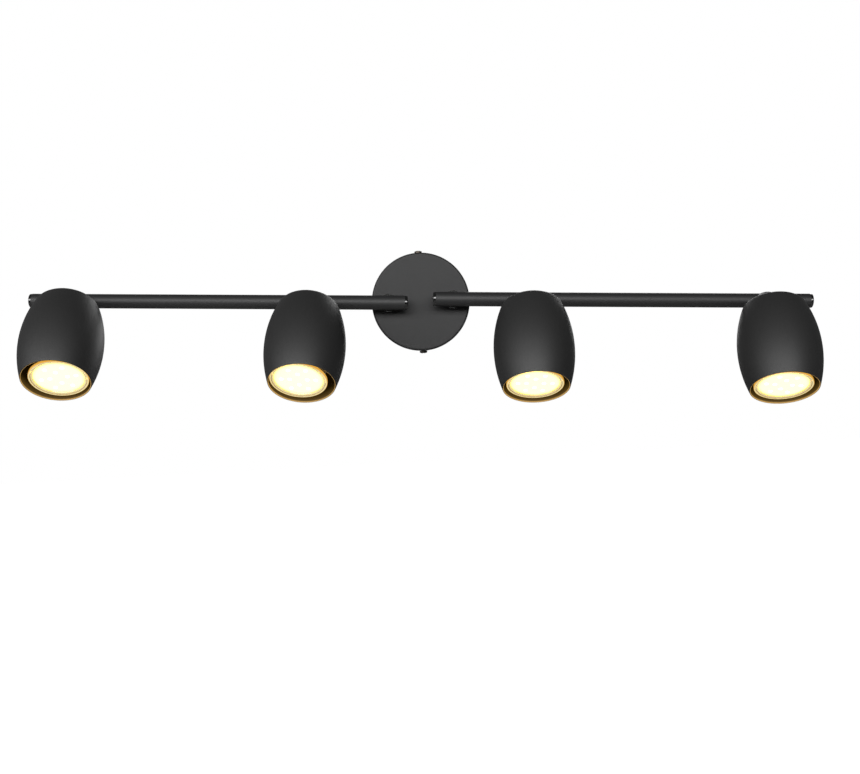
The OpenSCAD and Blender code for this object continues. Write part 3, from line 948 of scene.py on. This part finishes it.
class SPOTBAR_OT_wiring(bpy.types.Operator):
    """Runs the six leads inside the canopy, from the stems to the terminal block"""

    bl_idname = "spotbar.wiring"
    bl_label = "Wiring"

    def execute(self, context):
        settings = context.scene.spotbar_wiring
        leads = (
            ("live_leads", gloss_plastic("lead_brown", (0.16, 0.06, 0.02), 0.4)),
            ("neutral_leads", gloss_plastic("lead_blue", (0.03, 0.13, 0.45), 0.4)),
            ("earth_leads", self.striped()),
        )
        for pole, (node, material) in zip((-1, 0, 1), leads):
            left = self.lead(pole + 1, settings, material)
            right = self.lead(1 - pole, settings, material)
            right.transform(Matrix.Rotation(math.pi, 4, "Y"))
            settle(f"{node}_run", joined([left, right]), Matrix(), "canopy", slot_of(node), [node])
        return {"FINISHED"}

    def striped(self):
        """Green insulation with a yellow stripe down one side."""
        finish = Finish("lead_green_yellow")
        settings = {"attribute_type": "GEOMETRY", "attribute_name": "around"}
        around = finish.add("ShaderNodeAttribute", settings, None, "Fac")
        stripe = (around > 0.3) * (around < 0.7)
        pores = finish.noise(finish.position(), 0.3 * MM, detail=1)
        finish.set(
            base_color=finish.blend(stripe, (0.05, 0.26, 0.04, 1), (0.80, 0.62, 0.03, 1)),
            roughness=0.38 + pores * 0.1,
        )
        return finish.material

    def lead(self, slot, settings, material):
        """One lead, drawn for the left stem."""
        step = slot - 1
        stem = abs(joint("left_arm_swivel")["pos_m"][0])
        x, z = -stem - 1.2 * MM * step, 1.6 * MM * step
        level = -(settings.first_level + settings.level_step * slot)
        pole = step * settings.pole_pitch
        clamp = -settings.clamp_depth
        route = [
            (x, -18 * MM, z), (x, level, z), (pole, level, 20 * MM), (pole, clamp, 9 * MM),
            (pole, clamp, 5 * MM),
        ]
        base = bpy.data.meshes.new("route")
        base.from_pydata(route, [(i, i + 1) for i in range(len(route) - 1)], [])
        values = {"Diameter": settings.diameter, "Bend": settings.bend, "Material": material}
        return run_tree(bpy.data.node_groups["Wire"], base, values)


def shade_outline(settings, height, radius):
    """Section of a shade's wall, from the hole out, down the skin and back up the lining."""
    side = settings.side_radius
    edge = settings.edge_radius
    wall = settings.wall
    drop = settings.belly_depth - edge
    side_x = radius - side
    edge_x = side_x + math.sqrt((side - edge) ** 2 - drop**2)
    edge_turn = math.degrees(math.atan2(drop, edge_x - side_x))

    def skin(inset):
        last = math.degrees(math.asin((settings.belly_depth - height) / (side - inset)))
        edge_points = arc((edge_x, edge), edge - inset, 90, edge_turn, 10)
        side_points = arc((side_x, settings.belly_depth), side - inset, edge_turn, last, 40)
        return edge_points + side_points[1:]

    outer = skin(0)
    inner = skin(wall)
    outer[-1] = (*outer[-1][:2], settings.lip)
    inner[-1] = (*inner[-1][:2], settings.lip)
    hole = settings.hole / 2
    return [(hole, 0, 0), *outer], [*reversed(inner), (hole, wall, 0)]


class SPOTBAR_OT_shades(bpy.types.Operator):
    """Builds the four barrel shades, with their coat outside and their lining inside"""

    bl_idname = "spotbar.shades"
    bl_label = "Shades"

    def execute(self, context):
        settings = context.scene.spotbar_shades
        coats = context.scene.spotbar_coats
        skin = powder_coat("shade_coat", coats.shade_color, coats.grain, coats.roughness)
        low, _, radius = reach_in("shade_1", shade_place(1))
        lining = shade_lining("shade_lining", settings, -low)
        outer, inner = shade_outline(settings, -low, radius)
        for head in HEADS:
            shell = turned(outer + inner, skin, 128, closed=True)
            shell.materials.append(lining)
            self.line_inside(shell, settings, -low)
            place = shade_place(head)
            settle(
                f"shade_shell_{head}", shell, place, f"head_{head}",
                "shade_powder_coat", [f"shade_{head}"],
            )
        return {"FINISHED"}

    def line_inside(self, shell, settings, height):
        """Gives the faces that look inwards the lining."""
        for face in shell.polygons:
            middle = face.center
            level = Vector((middle.x, middle.y, 0))
            inwards = face.normal.dot(level) < 0 and middle.z < -settings.wall
            under_top = face.normal.z < -0.7 and middle.z > -height + 3 * MM
            if inwards or under_top:
                face.material_index = 1


class SPOTBAR_OT_lamps(bpy.types.Operator):
    """Builds the four lamps: body, rim, pins, lit face and its light sources"""

    bl_idname = "spotbar.lamps"
    bl_label = "Lamps"

    def execute(self, context):
        settings = context.scene.spotbar_lamps
        face_r = settings.face_diameter / 2
        face = lamp_glow(
            "lamp_face_glow", settings.glow_color, settings.strength, (1.0, 0.42, 0.05),
            face_r, 3 * MM,
        )
        spot = lamp_glow(
            "lamp_spot_glow", settings.spot_color, settings.strength * 1.6, settings.spot_color,
            face_r, 3 * MM,
        )
        rim = self.rim_glass()
        shell = gloss_plastic("lamp_white", (0.82, 0.81, 0.78), 0.3, coat=0.2)
        pins = bare_metal("pin_nickel", (0.66, 0.64, 0.60), 0.22)
        for head in HEADS:
            self.build(head, settings, face, spot, rim, shell, pins)
        return {"FINISHED"}

    def rim_glass(self):
        """Clear bevelled rim lit from inside: its pale bands and thin gold lines are emission, partly the lamp's
        own light through the glass and partly painted reflections.
        """
        finish = Finish("rim_glass")
        radius, _ = finish.parts(finish.place())
        wobble = finish.noise(finish.place(), 4 * MM, detail=2)
        across = radius + (wobble - 0.5) * 0.9 * MM
        pale = finish.blend(wobble, (0.62, 0.50, 0.20, 1), (0.92, 0.82, 0.44, 1))
        gold = (0.34, 0.18, 0.022, 1)
        # Painted reflections: rings of emission across the rim, pale inside, a thin gold line in the middle and
        # orange at the outer edge.
        inner = finish.ramp(across, 21.7 * MM, 21.3 * MM)
        middle = finish.ramp((across - 23.1 * MM).math("ABSOLUTE"), 0.55 * MM, 0.2 * MM)
        outer = finish.ramp(across, 24.3 * MM, 24.7 * MM)
        glow = finish.blend(inner, pale, (0.72, 0.46, 0.09, 1))
        glow = finish.blend(middle, glow, gold)
        glow = finish.blend(outer, glow, (0.80, 0.40, 0.05, 1))
        finish.set(
            base_color=finish.blend(wobble, (0.10, 0.10, 0.08, 1), (0.16, 0.16, 0.13, 1)),
            roughness=0.06 + wobble * 0.05,
            emission_color=glow,
            emission_strength=1.0,
            coat_weight=0.8,
            coat_roughness=0.03,
        )
        return finish.material

    def build(self, head, settings, face, spot, rim, shell, pins):
        place = lamp_place(head)
        body = f"lamp_unit_{head}"
        _, _, radius = reach_in(f"lamp_{head}", place)
        length = 47 * MM
        base_r = 12.5 * MM
        base_l = 12 * MM
        rim_h = 3 * MM
        face_r = settings.face_diameter / 2
        recess = settings.face_recess
        cup = [
            (0, -length, 0), (base_r, -length, 1 * MM), (base_r, -length + base_l, 0.6 * MM),
            (base_r + 2 * MM, -length + base_l + 1 * MM, 0.8 * MM),
            (radius - 3 * MM, -rim_h - 6 * MM, 6 * MM), (radius - 0.8 * MM, -rim_h, 0),
            (0, -rim_h, 0),
        ]
        ring = [
            (face_r, -rim_h, 0), (radius - 0.8 * MM, -rim_h, 0),
            (radius, -rim_h + 0.8 * MM, 0.2 * MM), (radius, 0, 0.5 * MM),
            (radius - 1.6 * MM, 0, 0.3 * MM),
            (radius - 2.1 * MM, -0.5 * MM, 0.2 * MM), (face_r + 0.3 * MM, -0.7 * MM, 0.3 * MM),
            (face_r, -recess - 0.2 * MM, 0.1 * MM),
        ]
        disc = [
            (0, -rim_h, 0), (face_r - 0.05 * MM, -rim_h, 0),
            (face_r - 0.05 * MM, -recess, 0.2 * MM), (0, -recess, 0),
        ]
        lathe = [(cup, shell, False), (ring, rim, True)]
        meshes = [turned(outline, material, 96, closed) for outline, material, closed in lathe]
        meshes += [self.pin(side, length, pins) for side in (-1, 1)]
        meshes.append(self.ribs(settings, length, radius, shell))
        settle(f"lamp_shell_{head}", joined(meshes), place, body, "lamp_plastic", [f"lamp_{head}"])
        glow = joined([turned(disc, face, 96), *self.spots(settings, spot)])
        settle(f"lamp_face_{head}", glow, place, body, "lamp_lens", [f"lamp_lens_{head}"])

    def spots(self, settings, material):
        """Domes of the light sources, in two rings."""
        dome_r = settings.spot_diameter / 2
        level = -settings.face_recess
        dome = [
            (0, level, 0), (dome_r, level, 0), (dome_r * 0.7, level + 0.35 * MM, 0.3 * MM),
            (0, level + 0.5 * MM, 0),
        ]
        rings = (
            (settings.inner_spots, settings.inner_radius),
            (settings.outer_spots, settings.outer_radius),
        )
        return [
            run_tree(
                bpy.data.node_groups["Ring Of Copies"],
                turned(dome, material, 16),
                {"Count": count, "Radius": radius, "Material": material},
            )
            for count, radius in rings
        ]

    def ribs(self, settings, length, radius, material):
        """Cooling ribs that run up the flare of the lamp's body."""
        foot, rise, thick = 13.5 * MM, length - 13.5 * MM, 0.5 * MM
        corners = [
            (foot, rise), (foot + 1.8 * MM, rise), (radius - 2.2 * MM, 9.5 * MM),
            (radius - 3.6 * MM, 9.5 * MM),
        ]
        rib = bpy.data.meshes.new("rib")
        sides = [(x - foot, y, z) for y in (-thick, thick) for x, z in corners]
        walls = [(i, (i + 1) % 4, (i + 1) % 4 + 4, i + 4) for i in range(4)]
        rib.from_pydata(sides, [], [(3, 2, 1, 0), (4, 5, 6, 7), *walls])
        values = {"Count": settings.ribs, "Radius": foot, "Material": material}
        return run_tree(bpy.data.node_groups["Ring Of Copies"], face_outwards(rib), values)

    def pin(self, side, length, material):
        """One contact pin with its mushroom head."""
        neck, head, reach, head_h = 1.5 * MM, 2.5 * MM, 6.4 * MM, 2.2 * MM
        outline = [
            (0, -length - reach, 0), (head, -length - reach, 0.5 * MM),
            (head, -length - reach + head_h, 0.2 * MM), (neck, -length - reach + head_h, 0),
            (neck, -length, 0), (0, -length, 0),
        ]
        mesh = turned(outline, material, 32)
        mesh.transform(Matrix.Translation((side * 5 * MM, 0, 0)))
        return mesh


class SPOTBAR_OT_stage(bpy.types.Operator):
    """Sets the floor, the studio light and the camera"""

    bl_idname = "spotbar.stage"
    bl_label = "Stage"

    def execute(self, context):
        settings = context.scene.spotbar_stage
        self.camera(context, settings)
        self.world(context)
        self.floor(context, settings)
        softboxes = (
            ("key_light", (-0.25, -1.7, 0.54), (3.2, 0.6), settings.key_power),
            ("back_fill", (0.5, 1.5, 0.5), (1.0, 1.0), settings.back_power),
            ("left_fill", (-1.5, -0.8, 0.2), (0.9, 0.9), settings.fill_power),
        )
        for name, place, size, power in softboxes:
            self.softbox(context, name, place, size, power)
        context.scene.view_settings.view_transform = "Standard"
        return {"FINISHED"}

    def camera(self, context, settings):
        camera = bpy.data.cameras.new("camera")
        camera.lens = settings.lens
        camera.sensor_width = 36
        camera.clip_start = 0.01
        holder = bpy.data.objects.new("camera", camera)
        context.scene.collection.objects.link(holder)
        holder.matrix_world = (
            Matrix.Translation(settings.camera_place)
            @ Matrix.Rotation(settings.camera_roll, 4, "Y")
            @ Matrix.Rotation(settings.camera_yaw, 4, "Z")
            @ Matrix.Rotation(settings.camera_pitch + math.pi / 2, 4, "X")
        )
        context.scene.camera = holder

    def world(self, context):
        """White behind everything, and softer light from the front than from the wall's side."""
        world = bpy.data.worlds.new("studio")
        world.use_nodes = True
        context.scene.world = world
        net = Net(world.node_tree)
        seen = net.add("ShaderNodeLightPath", None, None, "Is Camera Ray")
        direction = net.add("ShaderNodeTexCoord", None, None, "Generated")
        depth = net.add("ShaderNodeSeparateXYZ", None, {0: direction}, "Y")
        height = net.add("ShaderNodeSeparateXYZ", None, {0: direction}, "Z")
        light = 0.10 + net.ramp(depth, 0.2, 1.0) * 0.12 + net.ramp(height, 0.0, -1.0) * 0.04
        strength = seen + (1 - seen) * light
        background = net.add(
            "ShaderNodeBackground", None, {"Color": (1, 1, 1, 1), "Strength": strength}
        )
        net.add("ShaderNodeOutputWorld", None, {"Surface": background})

    def floor(self, context, settings):
        low = cad_box[0].z - settings.floor_drop
        mesh = bpy.data.meshes.new("floor")
        reach = 6.0
        corners = [(-reach, -reach), (reach, -reach), (reach, reach), (-reach, reach)]
        mesh.from_pydata([(x, y, low) for x, y in corners], [], [(0, 1, 2, 3)])
        finish = Finish("floor_paint")
        seen = finish.add("ShaderNodeLightPath", None, None, "Is Camera Ray")
        patches = finish.noise(finish.position(), 1.5, detail=2)
        finish.set(
            base_color=finish.blend(patches, (0.30, 0.30, 0.30, 1), (0.33, 0.33, 0.33, 1)),
            roughness=0.9,
            emission_color=finish.blend(seen, (0, 0, 0, 1), (1, 1, 1, 1)),
            emission_strength=1.4,
        )
        mesh.materials.append(finish.material)
        floor = bpy.data.objects.new("floor", mesh)
        context.scene.collection.objects.link(floor)

    def softbox(self, context, name, place, size, power):
        """A large lamp turned to the middle of the canopy's back."""
        light = bpy.data.lights.new(name, "AREA")
        light.shape = "RECTANGLE"
        light.size, light.size_y = size
        light.energy = power
        holder = bpy.data.objects.new(name, light)
        holder.visible_camera = False
        context.scene.collection.objects.link(holder)
        aim = (-Vector(place)).to_track_quat("-Z", "Y")
        holder.matrix_world = Matrix.Translation(place) @ aim.to_matrix().to_4x4()


class SPOTBAR_PT_sidebar(bpy.types.Panel):
    """Lists the pieces of the spot bar"""

    bl_label = "Spot Bar"
    bl_idname = "SPOTBAR_PT_sidebar"
    bl_space_type = "VIEW_3D"
    bl_region_type = "UI"
    bl_category = "Spot Bar"

    def draw(self, context):
        for operator, settings in STEPS:
            box = self.layout.box()
            box.operator(operator.bl_idname)
            group = getattr(context.scene, settings)
            for name in group.bl_rna.properties.keys():
                if name not in {"rna_type", "name"}:
                    box.prop(group, name)


STEPS = (
    (SPOTBAR_OT_coats, "spotbar_coats"),
    (SPOTBAR_OT_fittings, "spotbar_fittings"),
    (SPOTBAR_OT_wiring, "spotbar_wiring"),
    (SPOTBAR_OT_shades, "spotbar_shades"),
    (SPOTBAR_OT_lamps, "spotbar_lamps"),
    (SPOTBAR_OT_stage, "spotbar_stage"),
)
GROUPS = (
    ("spotbar_coats", CoatSettings),
    ("spotbar_fittings", FittingSettings),
    ("spotbar_wiring", WiringSettings),
    ("spotbar_shades", ShadeSettings),
    ("spotbar_lamps", LampSettings),
    ("spotbar_stage", StageSettings),
)


def register():
    for name, group in GROUPS:
        bpy.utils.register_class(group)
        setattr(bpy.types.Scene, name, PointerProperty(type=group))
    for operator, _ in STEPS:
        bpy.utils.register_class(operator)
    bpy.utils.register_class(SPOTBAR_PT_sidebar)


def unregister():
    bpy.utils.unregister_class(SPOTBAR_PT_sidebar)
    for operator, _ in reversed(STEPS):
        bpy.utils.unregister_class(operator)
    for name, group in reversed(GROUPS):
        delattr(bpy.types.Scene, name)
        bpy.utils.unregister_class(group)


def main():
    register()
    for tree in (turned_tree, ring_tree, row_tree, wire_tree):
        tree()
    for operator, _ in STEPS:
        family, action = operator.bl_idname.split(".")
        getattr(getattr(bpy.ops, family), action)()


if __name__ == "__main__":
    main()
